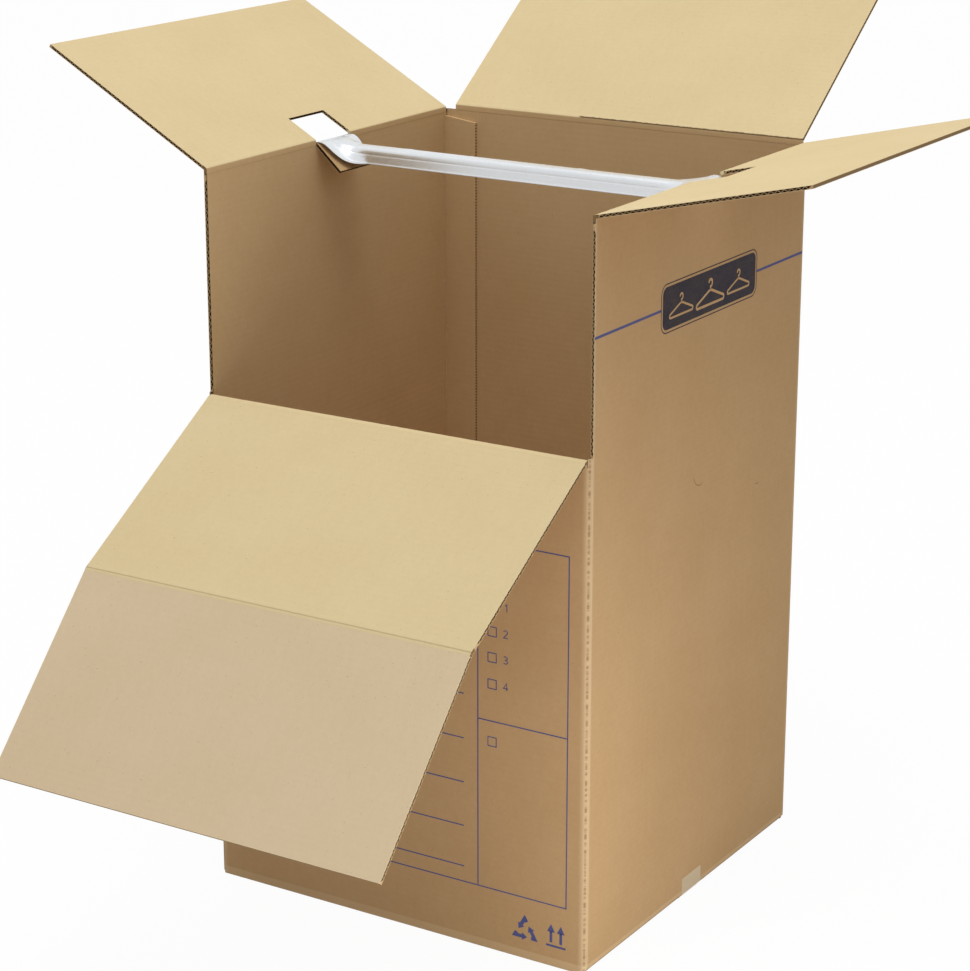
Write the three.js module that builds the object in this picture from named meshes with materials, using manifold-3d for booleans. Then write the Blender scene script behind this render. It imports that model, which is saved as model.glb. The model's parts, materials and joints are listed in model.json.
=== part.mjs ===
// Wardrobe moving box in single-wall corrugated board, standing open.
// Millimetres. X runs left to right along the front, Y from front to back, Z up from the floor.
// The origin lies under the middle of the box, on the floor.
// The flutes run level round the box, so their ends show on every upright cut edge.

import * as THREE from 'three';
import { mergeVertices } from 'three/addons/utils/BufferGeometryUtils.js';
import Module from 'manifold-3d';

const wasm = await Module();
wasm.setup();

// Driving dimensions: the box
const insideWidth = 508;
const insideDepth = 508;
const insideHeight = 864;
const flapLength = 254;
const dropPanelHeight = 272;
const cornerRadius = 6;
const bottomRadius = 3;
const layerGap = 0.3;

// Driving dimensions: the board and its flutes
const boardThickness = 4;
const linerThickness = 0.45;
const mediumThickness = 0.4;
const flutePitch = 7.7;
const flutePocketDepth = 9;
const fluteFoot = 0.36;

// Driving dimensions: the creases that the loose flaps turn on
const axisStandoff = 0.15;
const creaseRelief = 0.45;
const flapStart = 2;
const webThickness = 1;
const webGap = 0.3;

// Driving dimensions: cuts and slots
const sideCutSetback = 6;
const panelSideInset = 4;
const cornerStubHeight = 6;
const sideFlapBackInset = 5;
const backFlapLeftInset = 18;
const backFlapRightInset = 6;
const bottomFlapInset = 5;
const glueTabWidth = 46;
const glueTabEndInset = 4;
const glueTabTaper = 6;

// Driving dimensions: the hanger bar and the punched tabs that it hangs on
const slotWidth = 72;
const slotDepth = 44;
const slotKerf = 0.5;
const tabDroop = 42;
const sheetThickness = 1;
const tongueWidth = 68;
const barStripWidth = 58;
const barFlatWidth = 8;
const barShoulder = 11;
const barFoldLength = 44;
const hookClearance = 0.4;
const hookLip = 8;
const barHeadroom = 0.3;
const hookSink = 1.6;
const foldLeadIn = 11;

// Driving dimensions: the bottom tape
const tapeWidth = 48;
const tapeThickness = 0.4;
const tapeRiseRight = 27;
const tapeRiseLeft = 45;
const tapeCornerTurns = [-60, -35, -10];

// How far each loose board stands open, in degrees
const leftFlapRise = 29;
const rightFlapRise = 13;
const backFlapRise = 36;
const dropPanelFall = 32;
const frontFlapBend = 16;

const halfWidth = insideWidth / 2 + boardThickness;
const halfDepth = insideDepth / 2 + boardThickness;
const innerHalfWidth = insideWidth / 2;
const innerHalfDepth = insideDepth / 2;
const innerFlapBottom = boardThickness + layerGap;
const floorTop = innerFlapBottom + boardThickness;
const wallStop = boardThickness + axisStandoff + creaseRelief;
const sideHinge = floorTop + insideHeight + boardThickness + axisStandoff;
const backHinge = sideHinge + boardThickness + layerGap;
const panelHinge = backHinge - dropPanelHeight;
const sideWallTop = sideHinge - wallStop;
const backWallTop = backHinge - wallStop;
const frontWallTop = panelHinge - wallStop;
const tabPivotHeight = sideHinge - boardThickness - hookSink;
const overlap = 1;
const degrees = Math.PI / 180;

// Plain colours: the folded shell shows the outer liner's brown, the open flaps the inner liner's pale tan
const kraft = new THREE.MeshStandardMaterial({ color: 0xb79262, roughness: 0.9, metalness: 0 });
const kraftInside = new THREE.MeshStandardMaterial({ color: 0xdcc89b, roughness: 0.9, metalness: 0 });
const zinc = new THREE.MeshStandardMaterial({ color: 0xd4d7dc, roughness: 0.35, metalness: 0.9 });
const tapeFilm = new THREE.MeshStandardMaterial({ color: 0xcdb590, roughness: 0.35, metalness: 0 });

// A closed geometry as a solid that can be joined and cut
function solid(geometry) {
  const bare = geometry.clone();
  bare.deleteAttribute('normal');
  bare.deleteAttribute('uv');
  const merged = mergeVertices(bare, 1e-4);
  return new wasm.Manifold(new wasm.Mesh({
    numProp: 3,
    vertProperties: Float32Array.from(merged.attributes.position.array),
    triVerts: Uint32Array.from(merged.index.array),
  }));
}

function geometryOf(body) {
  const mesh = body.getMesh();
  const geometry = new THREE.BufferGeometry();
  geometry.setAttribute('position', new THREE.BufferAttribute(mesh.vertProperties, 3));
  geometry.setIndex(new THREE.BufferAttribute(mesh.triVerts, 1));
  geometry.computeVertexNormals();
  return geometry;
}

// A box between two corners
function block(low, high) {
  const geometry = new THREE.BoxGeometry(high[0] - low[0], high[1] - low[1], high[2] - low[2]);
  geometry.translate((low[0] + high[0]) / 2, (low[1] + high[1]) / 2, (low[2] + high[2]) / 2);
  return solid(geometry);
}

function shapeOf(points) {
  return new THREE.Shape(points.map(([x, y]) => new THREE.Vector2(x, y)));
}

// Outlines drawn in X and Z, carried along Y
function alongDepth(shapes, front, back) {
  const geometry = new THREE.ExtrudeGeometry(shapes, { depth: back - front, bevelEnabled: false });
  geometry.rotateX(Math.PI / 2);
  geometry.translate(0, back, 0);
  return solid(geometry);
}

// Outlines drawn in Y and Z, carried along X
function alongWidth(shapes, left, right) {
  const geometry = new THREE.ExtrudeGeometry(shapes, { depth: right - left, bevelEnabled: false });
  geometry.rotateX(Math.PI / 2);
  geometry.rotateZ(Math.PI / 2);
  geometry.translate(left, 0, 0);
  return solid(geometry);
}

function mirrored(body) {
  return body.mirror([1, 0, 0]);
}

// A rectangle with round corners, seen from above
function roundedSquare(halfX, halfY, radius, Kind) {
  const outline = new Kind();
  outline.absarc(halfX - radius, halfY - radius, radius, 0, Math.PI / 2);
  outline.absarc(-halfX + radius, halfY - radius, radius, Math.PI / 2, Math.PI);
  outline.absarc(-halfX + radius, -halfY + radius, radius, Math.PI, Math.PI * 1.5);
  outline.absarc(halfX - radius, -halfY + radius, radius, Math.PI * 1.5, Math.PI * 2);
  return outline;
}

// The gaps between the liners and the waved medium, as triangles that point to either liner in turn.
// The board lies between the coordinates low and high, and the waves follow one another from start to end.
function fluteTriangles(low, high, start, end) {
  const lowFace = low + linerThickness;
  const highFace = high - linerThickness;
  const triangles = [];
  for (let wave = start; wave + flutePitch * 1.5 <= end; wave += flutePitch) {
    triangles.push([
      [highFace, wave + fluteFoot],
      [highFace, wave + flutePitch - fluteFoot],
      [lowFace + mediumThickness, wave + flutePitch / 2],
    ]);
    triangles.push([
      [lowFace, wave + flutePitch / 2 + fluteFoot],
      [highFace - mediumThickness, wave + flutePitch],
      [lowFace, wave + flutePitch * 1.5 - fluteFoot],
    ]);
  }
  return triangles;
}

// The spandrel that rounds off an edge: the corner at (x, y) loses what lies outside its quarter circle.
// Towards the board the corner runs on by inX and inY, which are 1 or -1.
function edgeRounder(x, y, inX, inY, radius) {
  const centre = [x + inX * radius, y + inY * radius];
  const outside = overlap;
  const steps = 4;
  const points = [[x - inX * outside, y - inY * outside], [x - inX * outside, centre[1]]];
  for (let step = 0; step <= steps; step += 1) {
    const turn = (step / steps) * Math.PI / 2;
    points.push([centre[0] - inX * radius * Math.cos(turn), centre[1] - inY * radius * Math.sin(turn)]);
  }
  points.push([centre[0], y - inY * outside]);
  return shapeOf(points);
}

// The thin crushed skin that stays on a wall above its full thickness, mitred towards the crease.
// Drawn with the outward direction first and up second, from a crease at (0, crease).
function wallWebOutline(crease) {
  const face = -axisStandoff;
  return [
    [face, crease - webGap],
    [face - webThickness, crease - webGap - webThickness],
    [face - webThickness, crease - wallStop - overlap],
    [face, crease - wallStop - overlap],
  ];
}

// The section of a loose board, in the frame of its crease: x points outwards, y away from the crease.
// With farCrease the board ends in a second crease, and otherwise at a cut edge.
function looseBoardSection(length, farCrease) {
  const face = -axisStandoff;
  const back = face - boardThickness;
  const boardEnd = farCrease ? length - wallStop : length;
  const outline = [
    [face, webGap],
    ...(farCrease ? [
      [face, length - webGap],
      [face - webThickness, length - webGap - webThickness],
      [face - webThickness, boardEnd],
    ] : [[face, length]]),
    [back, boardEnd],
    [back, flapStart],
    [face - webThickness, flapStart],
    [face - webThickness, webGap + webThickness],
  ];
  const section = shapeOf(outline);
  const flutes = fluteTriangles(back, face, flapStart + linerThickness, boardEnd - linerThickness);
  for (const triangle of flutes) section.holes.push(new THREE.Path(triangle.map(([x, y]) => new THREE.Vector2(x, y))));
  return section;
}

// A loose board as a solid: the section is carried along the crease, over the given stretch
function looseBoard(length, farCrease, from, to) {
  const geometry = new THREE.ExtrudeGeometry(looseBoardSection(length, farCrease), {
    depth: to - from,
    bevelEnabled: false,
  });
  geometry.translate(0, 0, from);
  return solid(geometry);
}

// A tab's section in X and Z on the right-hand side: the board bends in over the wall's top and hangs down
const tabPivot = [innerHalfWidth, tabPivotHeight];

function tabPoint(distance, height) {
  const run = (180 + tabDroop) * degrees;
  const rise = (90 + tabDroop) * degrees;
  return [
    tabPivot[0] + distance * Math.cos(run) + height * Math.cos(rise),
    tabPivot[1] + distance * Math.sin(run) + height * Math.sin(rise),
  ];
}

function tabSection() {
  const points = [[tabPivot[0], tabPivot[1] - overlap], tabPoint(0, 0), tabPoint(slotDepth, 0)];
  const bendSteps = 7;
  points.push(tabPoint(slotDepth, boardThickness));
  for (let step = 0; step <= bendSteps; step += 1) {
    const turn = (90 + tabDroop) * (1 - step / bendSteps) * degrees;
    points.push([
      tabPivot[0] + boardThickness * Math.cos(turn),
      tabPivot[1] + boardThickness * Math.sin(turn),
    ]);
  }
  points.push([tabPivot[0] + boardThickness, tabPivot[1] - overlap]);
  const section = shapeOf(points);
  const flutes = fluteTriangles(0, boardThickness, linerThickness * 2, slotDepth - linerThickness);
  for (const triangle of flutes) {
    section.holes.push(new THREE.Path(triangle.map(([height, distance]) => new THREE.Vector2(...tabPoint(distance, height)))));
  }
  return section;
}

// The folded sheet: four walls, the glue tab, four bottom flaps and the two punched tabs
function boxShell() {
  const slotHalf = slotWidth / 2;
  const cutEdge = -halfDepth + sideCutSetback;
  const bottomFlapHalfWidth = halfWidth - bottomFlapInset;
  const bottomFlapHalfDepth = halfDepth - bottomFlapInset;

  const plan = roundedSquare(halfWidth, halfDepth, cornerRadius, THREE.Shape);
  plan.holes.push(roundedSquare(innerHalfWidth, innerHalfDepth, cornerRadius - boardThickness, THREE.Path));
  const ring = new THREE.ExtrudeGeometry(plan, { depth: backWallTop, bevelEnabled: false, curveSegments: 5 });
  let shell = solid(ring);

  const above = backWallTop + overlap;
  const past = halfWidth + overlap;
  const frontPast = -halfDepth - overlap;
  const sideTop = (front, back, height) => block([innerHalfWidth - overlap, front, height], [past, back, above]);
  const trims = [
    sideTop(frontPast, -slotHalf, sideWallTop),
    sideTop(slotHalf, innerHalfDepth, sideWallTop),
    sideTop(-slotHalf - overlap, slotHalf + overlap, tabPivotHeight),
    block([halfWidth - boardThickness, frontPast, -overlap], [past, halfDepth + overlap, innerFlapBottom]),
  ];
  for (const trim of trims) shell = shell.subtract(trim).subtract(mirrored(trim));

  const openingHalf = halfWidth - panelSideInset + slotKerf;
  shell = shell.subtract(block([-openingHalf, frontPast, frontWallTop], [openingHalf, cutEdge + overlap, above]));
  shell = shell.subtract(block([-past, frontPast, panelHinge + cornerStubHeight], [past, cutEdge, above]));

  const sideBottomFlap = block(
    [halfWidth - flapLength, -bottomFlapHalfDepth, innerFlapBottom],
    [halfWidth - boardThickness / 2, bottomFlapHalfDepth, floorTop],
  );
  const frontBottomFlap = block(
    [-bottomFlapHalfWidth, -halfDepth + boardThickness / 2, 0],
    [bottomFlapHalfWidth, -halfDepth + flapLength, boardThickness],
  );
  shell = shell.add(sideBottomFlap).add(mirrored(sideBottomFlap));
  shell = shell.add(frontBottomFlap).add(frontBottomFlap.mirror([0, 1, 0]));

  const sideRounder = alongDepth(
    [edgeRounder(halfWidth, innerFlapBottom, -1, 1, bottomRadius)], frontPast, halfDepth + overlap,
  );
  const frontRounder = alongWidth([edgeRounder(-halfDepth, 0, 1, 1, bottomRadius)], -past, past);
  shell = shell.subtract(sideRounder).subtract(mirrored(sideRounder));
  shell = shell.subtract(frontRounder).subtract(frontRounder.mirror([0, 1, 0]));

  // Crushed skins under the creases of the loose boards
  const hingeX = halfWidth + axisStandoff;
  const hingeY = halfDepth + axisStandoff;
  const slotSide = slotHalf + slotKerf;
  const sideWeb = shapeOf(wallWebOutline(sideHinge).map(([out, up]) => [hingeX + out, up]));
  for (const [front, back] of [[cutEdge, -slotSide], [slotSide, halfDepth - sideFlapBackInset]]) {
    const web = alongDepth([sideWeb], front, back);
    shell = shell.add(web).add(mirrored(web));
  }
  const backWeb = shapeOf(wallWebOutline(backHinge).map(([out, up]) => [hingeY + out, up]));
  const frontWeb = shapeOf(wallWebOutline(panelHinge).map(([out, up]) => [-hingeY - out, up]));
  shell = shell.add(alongWidth([backWeb], -halfWidth + backFlapLeftInset, halfWidth - backFlapRightInset));
  shell = shell.add(alongWidth([frontWeb], -halfWidth + panelSideInset, halfWidth - panelSideInset));

  // The end wall's glue tab lies inside the back wall, at the left
  const glueTabLow = floorTop + glueTabEndInset;
  const glueTabHigh = sideWallTop - glueTabEndInset;
  const glueTabEdge = -innerHalfWidth + glueTabWidth;
  const glueTab = alongDepth([shapeOf([
    [-innerHalfWidth - overlap, glueTabLow],
    [glueTabEdge, glueTabLow + glueTabTaper],
    [glueTabEdge, glueTabHigh - glueTabTaper],
    [-innerHalfWidth - overlap, glueTabHigh],
  ])], innerHalfDepth - boardThickness, innerHalfDepth + overlap);
  shell = shell.add(glueTab);

  const tab = alongDepth([tabSection()], -slotHalf, slotHalf);
  shell = shell.add(tab).add(mirrored(tab));

  // Flute ends on the free front edges of the side walls
  const pockets = fluteTriangles(
    innerHalfWidth, halfWidth, panelHinge + cornerStubHeight + linerThickness, sideWallTop - linerThickness,
  );
  const edgePockets = alongDepth(pockets.map(shapeOf), cutEdge - overlap, cutEdge + flutePocketDepth);
  shell = shell.subtract(edgePockets).subtract(mirrored(edgePockets));

  // The tape is pressed into the bottom, flush with the flaps
  const groove = block(
    [-halfWidth, -tapeWidth / 2, -overlap],
    [halfWidth, tapeWidth / 2, tapeThickness],
  );
  return shell.subtract(groove);
}

// A loose side flap, with the opening that its tab and the bar's end stand in
function sideFlap(from, to) {
  const cutHalf = slotWidth / 2 + slotKerf;
  const cut = block([-boardThickness - overlap, -overlap, -cutHalf], [overlap, slotDepth, cutHalf]);
  return looseBoard(flapLength, false, from, to).subtract(cut);
}

// The hanger bar: a steel strip folded down into a channel, flat and wide at its ends, hooked over the walls.
// Along the strip each station is a place on the path; across it each stop is a place on the fold.
const hookRadius = boardThickness + hookClearance;
const barTop = sideWallTop - barHeadroom;
const hookTop = tabPivotHeight + hookRadius + sheetThickness;
const foldStart = halfWidth + axisStandoff - slotDepth - barHeadroom;

function smooth(value) {
  const held = Math.min(1, Math.max(0, value));
  return held * held * (3 - 2 * held);
}

// Half of the bar's path, from its middle out to the lip, as the sheet's top face
function barStations() {
  const stations = [{ x: 0, z: barTop, turn: 0, flat: 0 }];
  const foldEnd = innerHalfWidth - boardThickness;
  const foldFrom = foldEnd - barFoldLength - foldLeadIn;
  const steps = 9;
  for (let step = 0; step <= steps; step += 1) {
    const x = foldFrom + (foldEnd - foldFrom) * (step / steps);
    const lift = smooth((x - foldStart) / (foldEnd - foldStart));
    stations.push({ x, z: barTop + (hookTop - barTop) * lift, turn: 0, flat: smooth((x - foldFrom) / (foldEnd - foldFrom)) });
  }
  const bends = 4;
  const radius = hookRadius + sheetThickness;
  for (let step = 0; step <= bends; step += 1) {
    const turn = (step / bends) * Math.PI / 2;
    stations.push({
      x: innerHalfWidth + radius * Math.sin(turn),
      z: tabPivotHeight + radius * Math.cos(turn),
      turn,
      flat: 1,
    });
  }
  stations.push({ x: innerHalfWidth + radius, z: tabPivotHeight - hookLip, turn: Math.PI / 2, flat: 1 });
  return stations;
}

// Places across half the strip: the flat top, the shoulder's arc and the edge
const shoulderSteps = 4;

function foldedAcross(stop, flat) {
  const halfStrip = (barStripWidth + (tongueWidth - barStripWidth) * flat) / 2;
  const flatHalf = barFlatWidth / 2;
  const arcs = Math.min(Math.max(stop - 1, 0), shoulderSteps) / shoulderSteps;
  const bend = (1 - flat) * Math.PI / 2;
  const turn = bend * arcs;
  const arcLength = barShoulder * arcs;
  const radius = bend > 1e-6 ? barShoulder / bend : 0;
  let across = flatHalf * Math.min(stop, 1);
  let down = 0;
  across += bend > 1e-6 ? radius * Math.sin(turn) : arcLength;
  down += bend > 1e-6 ? radius * (1 - Math.cos(turn)) : 0;
  if (stop > shoulderSteps + 1) {
    const side = halfStrip - flatHalf - barShoulder;
    across += side * Math.cos(turn);
    down += side * Math.sin(turn);
  }
  return { across, down, turn };
}

function hangerBar() {
  const half = barStations();
  const stations = [...half.slice(1).reverse().map((place) => ({ ...place, mirror: -1 })), ...half.map((place) => ({ ...place, mirror: 1 }))];
  const stopsEachSide = shoulderSteps + 2;
  const along = stations.length - 1;
  const across = stopsEachSide * 2;
  const geometry = new THREE.BoxGeometry(1, 1, 1, along, across, 1);
  const position = geometry.attributes.position;
  for (let vertex = 0; vertex < position.count; vertex += 1) {
    const place = stations[Math.round((position.getX(vertex) + 0.5) * along)];
    const stop = Math.round((position.getY(vertex) + 0.5) * across) - stopsEachSide;
    const fold = foldedAcross(Math.abs(stop), place.flat);
    const inner = position.getZ(vertex) > 0 ? 0 : sheetThickness;
    const side = Math.sign(stop) * (fold.across - inner * Math.sin(fold.turn));
    const drop = fold.down + inner * Math.cos(fold.turn);
    position.setXYZ(
      vertex,
      place.mirror * (place.x - drop * Math.sin(place.turn)),
      side,
      place.z - drop * Math.cos(place.turn),
    );
  }
  return solid(geometry);
}

// The tape's section in X and Z: a ribbon laid along the bottom and up both walls
function bottomTape() {
  const centreHeight = innerFlapBottom + bottomRadius;
  const centreX = halfWidth - bottomRadius;
  const seat = bottomRadius + layerGap / 2;
  const corner = tapeCornerTurns.map((turn) => [
    centreX + seat * Math.cos(turn * degrees),
    centreHeight + seat * Math.sin(turn * degrees),
  ]);
  const rightSide = (rise) => [
    [halfWidth - bottomFlapInset + layerGap, tapeThickness],
    ...corner,
    [halfWidth, centreHeight + bottomRadius / 2],
    [halfWidth, rise],
  ];
  const left = rightSide(tapeRiseLeft).map(([x, z]) => [-x, z]).reverse();
  const path = [...left, ...rightSide(tapeRiseRight)];
  const outer = path.map((point, index) => {
    const before = path[Math.max(index - 1, 0)];
    const after = path[Math.min(index + 1, path.length - 1)];
    const first = new THREE.Vector2(point[0] - before[0], point[1] - before[1]).normalize();
    const second = new THREE.Vector2(after[0] - point[0], after[1] - point[1]).normalize();
    const run = first.clone().add(second).normalize();
    const stretch = 1 / Math.max(run.dot(index === 0 ? second : first), 0.5);
    return [point[0] + run.y * tapeThickness * stretch, point[1] - run.x * tapeThickness * stretch];
  });
  return alongDepth([shapeOf([...path, ...outer.reverse()])], -tapeWidth / 2, tapeWidth / 2);
}

function meshOf(name, body, material) {
  const mesh = new THREE.Mesh(geometryOf(body), material);
  mesh.name = name;
  return mesh;
}

// A frame on a crease: x outwards, y up, z along the crease, then turned outwards by the given angle
function creaseFrame(position, outward, opening) {
  const group = new THREE.Group();
  const up = new THREE.Vector3(0, 0, 1);
  const out = new THREE.Vector3(...outward);
  const along = out.clone().cross(up);
  group.quaternion.setFromRotationMatrix(new THREE.Matrix4().makeBasis(out, up, along));
  group.rotateZ(-opening * degrees);
  group.position.set(...position);
  return group;
}

const box = new THREE.Group();
box.add(meshOf('box_shell', boxShell(), kraft));
box.add(meshOf('hanger_bar', hangerBar(), zinc));
box.add(meshOf('bottom_tape', bottomTape(), tapeFilm));

const flapFront = halfDepth - sideCutSetback;
const flapBack = halfDepth - sideFlapBackInset;

const leftCrease = creaseFrame([-halfWidth - axisStandoff, 0, sideHinge], [-1, 0, 0], 90 - leftFlapRise);
leftCrease.add(meshOf('left_flap', sideFlap(-flapFront, flapBack), kraftInside));
box.add(leftCrease);

const rightCrease = creaseFrame([halfWidth + axisStandoff, 0, sideHinge], [1, 0, 0], 90 - rightFlapRise);
rightCrease.add(meshOf('right_flap', sideFlap(-flapBack, flapFront), kraftInside));
box.add(rightCrease);

const backCrease = creaseFrame([0, halfDepth + axisStandoff, backHinge], [0, 1, 0], 90 - backFlapRise);
const backFlap = looseBoard(flapLength, false, -halfWidth + backFlapLeftInset, halfWidth - backFlapRightInset);
backCrease.add(meshOf('back_flap', backFlap, kraftInside));
box.add(backCrease);

const panelHalf = halfWidth - panelSideInset;
const panelCrease = creaseFrame([0, -halfDepth - axisStandoff, panelHinge], [0, -1, 0], 90 + dropPanelFall);
panelCrease.add(meshOf('drop_panel', looseBoard(dropPanelHeight, true, -panelHalf, panelHalf), kraftInside));
box.add(panelCrease);

const frontCrease = new THREE.Group();
frontCrease.position.set(0, dropPanelHeight, 0);
frontCrease.rotateZ(-frontFlapBend * degrees);
frontCrease.add(meshOf('front_flap', looseBoard(flapLength, false, -panelHalf, panelHalf), kraftInside));
panelCrease.add(frontCrease);

export default box;
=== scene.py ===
# Wardrobe moving box: camera, light, board and metal looks, creases, hanger bar and print.
# Blender works in metres. The settings here are in millimetres and degrees, in the CAD's own frame.

import math

import bpy
import numpy as np
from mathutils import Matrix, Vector
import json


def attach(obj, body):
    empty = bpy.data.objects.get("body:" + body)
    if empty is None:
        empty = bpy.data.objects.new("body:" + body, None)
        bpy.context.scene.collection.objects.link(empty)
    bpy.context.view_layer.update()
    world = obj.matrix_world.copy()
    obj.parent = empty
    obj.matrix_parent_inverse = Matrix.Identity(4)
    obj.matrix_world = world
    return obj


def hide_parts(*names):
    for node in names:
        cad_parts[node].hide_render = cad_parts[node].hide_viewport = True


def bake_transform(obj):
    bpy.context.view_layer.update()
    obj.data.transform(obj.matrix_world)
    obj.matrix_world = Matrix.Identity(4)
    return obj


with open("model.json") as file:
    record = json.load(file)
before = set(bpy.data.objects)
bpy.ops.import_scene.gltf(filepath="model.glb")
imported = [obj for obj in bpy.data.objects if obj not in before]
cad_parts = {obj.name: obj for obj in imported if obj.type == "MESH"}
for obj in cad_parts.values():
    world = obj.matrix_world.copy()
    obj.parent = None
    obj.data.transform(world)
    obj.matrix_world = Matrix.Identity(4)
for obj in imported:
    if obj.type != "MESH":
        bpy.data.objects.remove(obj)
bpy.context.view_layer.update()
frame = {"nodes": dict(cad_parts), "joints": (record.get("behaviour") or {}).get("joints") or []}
nodes = frame["nodes"]
joints = {joint["name"]: joint for joint in frame["joints"]}
scene = bpy.context.scene
scene.view_settings.view_transform = "Standard"
millimetre = 0.001
print("frame loaded")


# Camera

cameraSettings = {
    "position": (1648.4, -2696.1, 1457.9),
    "yaw": -32.007,
    "pitch": 17.274,
    "focalPixels": 2729.6,
    "imageSide": 971,
    "sensor": 36.0,
}


# The view direction comes from yaw and pitch, and the focal length from its pixels on the picture's side
def makeCamera(settings):
    data = bpy.data.cameras.new("camera")
    data.sensor_width = settings["sensor"]
    data.lens = settings["sensor"] * settings["focalPixels"] / settings["imageSide"]
    data.clip_start = 0.05
    data.clip_end = 200
    camera = bpy.data.objects.new("camera", data)
    yaw = math.radians(settings["yaw"])
    pitch = math.radians(settings["pitch"])
    forward = Vector((
        math.sin(yaw) * math.cos(pitch),
        math.cos(yaw) * math.cos(pitch),
        -math.sin(pitch),
    ))
    camera.rotation_mode = "QUATERNION"
    camera.rotation_quaternion = forward.to_track_quat("-Z", "Y")
    camera.location = Vector(settings["position"]) * millimetre
    scene.collection.objects.link(camera)
    scene.camera = camera


makeCamera(cameraSettings)
print("camera made")


# Shader building

# One value in a node tree: arithmetic on it adds Math nodes, and node() adds any other kind
class Signal:
    def __init__(self, tree, socket):
        self.tree = tree
        self.socket = socket

    # A node of this kind: its settings first, then the values or links of its inputs
    def node(self, kind, inputs=None, output=0, **settings):
        made = self.tree.nodes.new(kind)
        for name, value in settings.items():
            setattr(made, name, value)
        for key, value in (inputs or {}).items():
            if isinstance(value, Signal):
                self.tree.links.new(value.socket, made.inputs[key])
            else:
                made.inputs[key].default_value = value
        return Signal(self.tree, made.outputs[output])

    def maths(self, operation, *values):
        return self.node("ShaderNodeMath", dict(enumerate(values)), operation=operation)

    def __add__(self, other):
        return self.maths("ADD", self, other)

    def __sub__(self, other):
        return self.maths("SUBTRACT", self, other)

    def __mul__(self, other):
        return self.maths("MULTIPLY", self, other)

    def __truediv__(self, other):
        return self.maths("DIVIDE", self, other)

    def __radd__(self, other):
        return self.maths("ADD", other, self)

    def __rsub__(self, other):
        return self.maths("SUBTRACT", other, self)

    def __rmul__(self, other):
        return self.maths("MULTIPLY", other, self)

    def __rtruediv__(self, other):
        return self.maths("DIVIDE", other, self)

    def size(self):
        return self.maths("ABSOLUTE", self)

    def root(self):
        return self.maths("SQRT", self)

    def sine(self):
        return self.maths("SINE", self)

    def cosine(self):
        return self.maths("COSINE", self)

    def least(self, other):
        return self.maths("MINIMUM", self, other)

    def most(self, other):
        return self.maths("MAXIMUM", self, other)

    # 0 below low, 1 above high, and a smooth step between; with high under low it falls instead
    def step(self, low, high):
        limits = {1: min(low, high), 2: max(low, high)}
        values = {3: float(low >= high), 4: float(low < high)}
        inputs = {0: self, **limits, **values}
        return self.node("ShaderNodeMapRange", inputs, interpolation_type="SMOOTHSTEP")

    # 1 where the value lies within reach of the middle, with soft sides
    def band(self, middle, reach, soft):
        return (self - middle).size().step(reach + soft, reach)

    # This share of the second value, and the rest of the first
    def blend(self, first, second):
        return self * second + (1 - self) * first

    # The same between two colours
    def tint(self, first, second):
        return self.node("ShaderNodeMix", {0: self, 6: first, 7: second}, output=2, data_type="RGBA")


# A point's place in millimetres: x, y and z as signals, and noise read at it
class Place:
    def __init__(self, x, y, z):
        self.x = x
        self.y = y
        self.z = z

    # Noise whose features are about this long, stretched along the axes
    def noise(self, length, stretch=(1, 1, 1), detail=3.0, roughness=0.55):
        scaled = self.x.node("ShaderNodeCombineXYZ", {
            0: self.x / (length * stretch[0]),
            1: self.y / (length * stretch[1]),
            2: self.z / (length * stretch[2]),
        })
        inputs = {"Vector": scaled, "Scale": 1.0, "Detail": detail, "Roughness": roughness}
        return self.x.node("ShaderNodeTexNoise", inputs)

    # The place in a board's own frame: x along the crease, y into the board from its outer face,
    # and z away from the crease
    def inBoard(self, board):
        point = self.x.node("ShaderNodeCombineXYZ", {0: self.x, 1: self.y, 2: self.z})

        def along(direction, start):
            pair = {0: point, 1: tuple(direction)}
            dot = point.node("ShaderNodeVectorMath", pair, operation="DOT_PRODUCT", output=1)
            return dot - float(np.dot(direction, board["point"]) + start)

        return Place(
            along(board["along"], 0.0),
            along(-board["out"], boardFace),
            along(board["away"], 0.0),
        )


# A screen colour from 0 to 255 as linear light, by the sRGB curve
def linear(red, green, blue):
    def channel(value):
        share = value / 255
        return share / 12.92 if share <= 0.04045 else ((share + 0.055) / 1.055) ** 2.4

    return (channel(red), channel(green), channel(blue), 1.0)


# A material with its shader and the object's own coordinates in millimetres
def newMaterial(name):
    material = bpy.data.materials.new(name)
    material.use_nodes = True
    tree = material.node_tree
    shader = next(node for node in tree.nodes if node.type == "BSDF_PRINCIPLED")
    start = Signal(tree, None)
    point = start.node("ShaderNodeTexCoord", output=3)
    apart = start.node("ShaderNodeSeparateXYZ", {0: point})
    axes = [Signal(tree, apart.socket.node.outputs[index]) * 1000 for index in range(3)]
    return material, shader, Place(*axes)


# Links or sets the shader's inputs, and a height in millimetres as its bump
def finish(shader, values, height=None):
    tree = shader.id_data
    for name, value in values.items():
        if isinstance(value, Signal):
            tree.links.new(value.socket, shader.inputs[name])
        else:
            shader.inputs[name].default_value = value
    if height is not None:
        bump = height.node("ShaderNodeBump", {"Strength": 1.0, "Distance": millimetre, "Height": height})
        tree.links.new(bump.socket, shader.inputs["Normal"])


# Boards: each loose board's frame at rest

boardFace = 0.15
boardThickness = 4.0
faceReach = 0.3
faceSoft = 0.2
halfSide = 258.0
cornerRadius = 6.0
cornerCentre = halfSide - cornerRadius
tabPivot = (254.0, 870.85)
tabDroop = 42.0


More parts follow.
